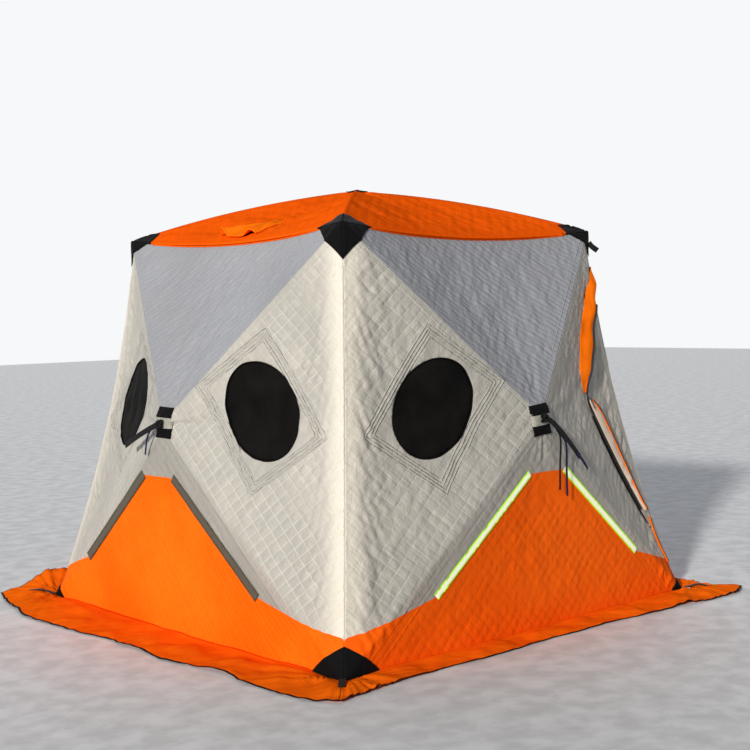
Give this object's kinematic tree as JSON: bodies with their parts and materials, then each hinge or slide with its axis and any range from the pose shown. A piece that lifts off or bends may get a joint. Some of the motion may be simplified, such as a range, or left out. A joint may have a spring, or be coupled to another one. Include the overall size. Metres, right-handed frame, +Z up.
{
  "type": "ice fishing shelter",
  "caption": "Pop-up insulated hub shelter for ice fishing: four pyramid walls, zipped side door, tinted oval windows, low hip roof with vent, ground skirt",
  "frame": {"origin": "on the ground, under the middle of the hut", "axes": "X along the front wall, to the right as seen from in front; Y from the front wall (with the door) to the back wall; Z up"},
  "size_m": [2.71, 2.59, 1.988],
  "materials": {
    "cloth_side": "quilted polyester, light warm grey, slight sheen",
    "cloth_top": "quilted polyester, cool mid grey, slight sheen",
    "cloth_orange": "quilted polyester, bright orange, slight sheen",
    "cloth_black": "plain woven reinforcing cloth, black",
    "window_film": "dark tinted flexible film, glossy",
    "reflective_tape": "reflective tape, bright lime edges and pale middle",
    "webbing": "woven black webbing",
    "black_plastic": "moulded black plastic",
    "steel": "plated steel eyelet",
    "pole": "solid glass-fibre rod, dark, satin"
  },
  "bodies": {
    "tent": {"front_wall_top_panel": "cloth_top", "front_wall_lower_panel": "cloth_orange", "front_wall_left_panel": "cloth_side", "front_wall_right_panel": "cloth_side", "left_wall_top_panel": "cloth_top", "left_wall_lower_panel": "cloth_orange", "left_wall_left_panel": "cloth_side", "left_wall_right_panel": "cloth_side", "back_wall_top_panel": "cloth_top", "back_wall_lower_panel": "cloth_orange", "back_wall_left_panel": "cloth_side", "back_wall_right_panel": "cloth_side", "right_wall_top_panel": "cloth_top", "right_wall_lower_panel": "cloth_orange", "right_wall_left_panel": "cloth_side", "right_wall_right_panel": "cloth_side", "roof_front_panel": "cloth_orange", "roof_left_panel": "cloth_orange", "roof_back_panel": "cloth_orange", "roof_right_panel": "cloth_orange", "roof_vent_hood": "cloth_orange", "window_panes": "window_film", "storm_flaps": "cloth_orange", "wall_poles": "pole", "roof_poles": "pole", "hubs": "black_plastic", "top_corner_blocks": "black_plastic", "pole_feet": "black_plastic", "hub_patches": "cloth_black", "top_corner_patches": "cloth_black", "top_edge_patches": "cloth_black", "roof_corner_patches": "cloth_black", "bottom_corner_patches": "cloth_black", "reflective_tapes": "reflective_tape", "pull_straps": "webbing", "front_skirt": "cloth_orange", "left_skirt": "cloth_orange", "back_skirt": "cloth_orange", "right_skirt": "cloth_orange", "anchor_straps": "webbing", "anchor_buckles": "black_plastic", "anchor_eyelets": "steel"},
    "door": {"door_panel": "cloth_side", "door_zipper": "black_plastic", "zip_slider": "black_plastic"}
  },
  "joints": [
    {"name": "door_hinge", "type": "hinge", "parent": "tent", "child": "door", "pos_m": [0.93302, -1.0492, 0.31], "axis": [-0.121, 0.1811, 0.976], "range_deg": [0, 110]}
  ]
}
